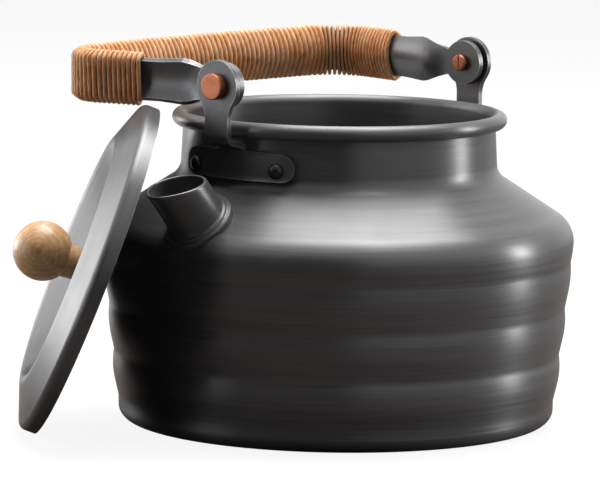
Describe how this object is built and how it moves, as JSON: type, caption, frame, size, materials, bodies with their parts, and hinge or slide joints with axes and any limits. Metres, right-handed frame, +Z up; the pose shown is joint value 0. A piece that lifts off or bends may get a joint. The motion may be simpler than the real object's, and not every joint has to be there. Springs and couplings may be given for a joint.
{
  "type": "camp kettle",
  "caption": "Camp kettle with a ribbed wall, sloping shoulder, short spout, folding cord-wrapped handle on riveted brackets, and a dished lid with a wooden ball knob taken off and leaned on it.",
  "frame": {"origin": "middle of the kettle's base, on the floor", "axes": "+Z up along the body's axis; -X towards the spout; the handle's hinge runs along X and the handle lies folded towards +Y"},
  "size_m": [0.1995, 0.1571, 0.1213],
  "materials": {
    "anodised_aluminium": "hard-anodised dark grey, satin, with fine turned lines",
    "coated_steel": "satin dark grey coating",
    "waxed_cord": "tan waxed cord, matt with a pale sheen",
    "copper": null,
    "fibre_washer": "matt black friction washer",
    "dark_rivet": "satin black domed rivet",
    "beech": "turned and oiled light wood",
    "steel": "plain steel screw and washer"
  },
  "bodies": {
    "kettle": {"kettle_body": "anodised_aluminium", "spout": "anodised_aluminium", "front_bracket": "coated_steel", "rear_bracket": "coated_steel", "front_pivot_rivet": "copper", "rear_pivot_rivet": "copper", "front_pivot_washer": "fibre_washer", "rear_pivot_washer": "fibre_washer", "front_foot_rivet_left": "dark_rivet", "front_foot_rivet_right": "dark_rivet", "rear_foot_rivet_left": "dark_rivet", "rear_foot_rivet_right": "dark_rivet"},
    "handle": {"bail_handle": "coated_steel", "handle_wrap": "waxed_cord"},
    "lid": {"lid": "anodised_aluminium", "knob": "beech", "knob_screw": "steel", "knob_washer": "steel"}
  },
  "joints": [
    {"name": "bail_swing", "type": "hinge", "parent": "kettle", "child": "handle", "pos_m": [0.004, 0, 0.1124], "axis": [1, 0, 0], "range_deg": [0, 203.5]},
    {"name": "lid_lift", "type": "slide", "parent": "kettle", "child": "lid", "axis": [-0.6841, 0.638, 0.3535], "range_m": [0, 0.15]}
  ]
}
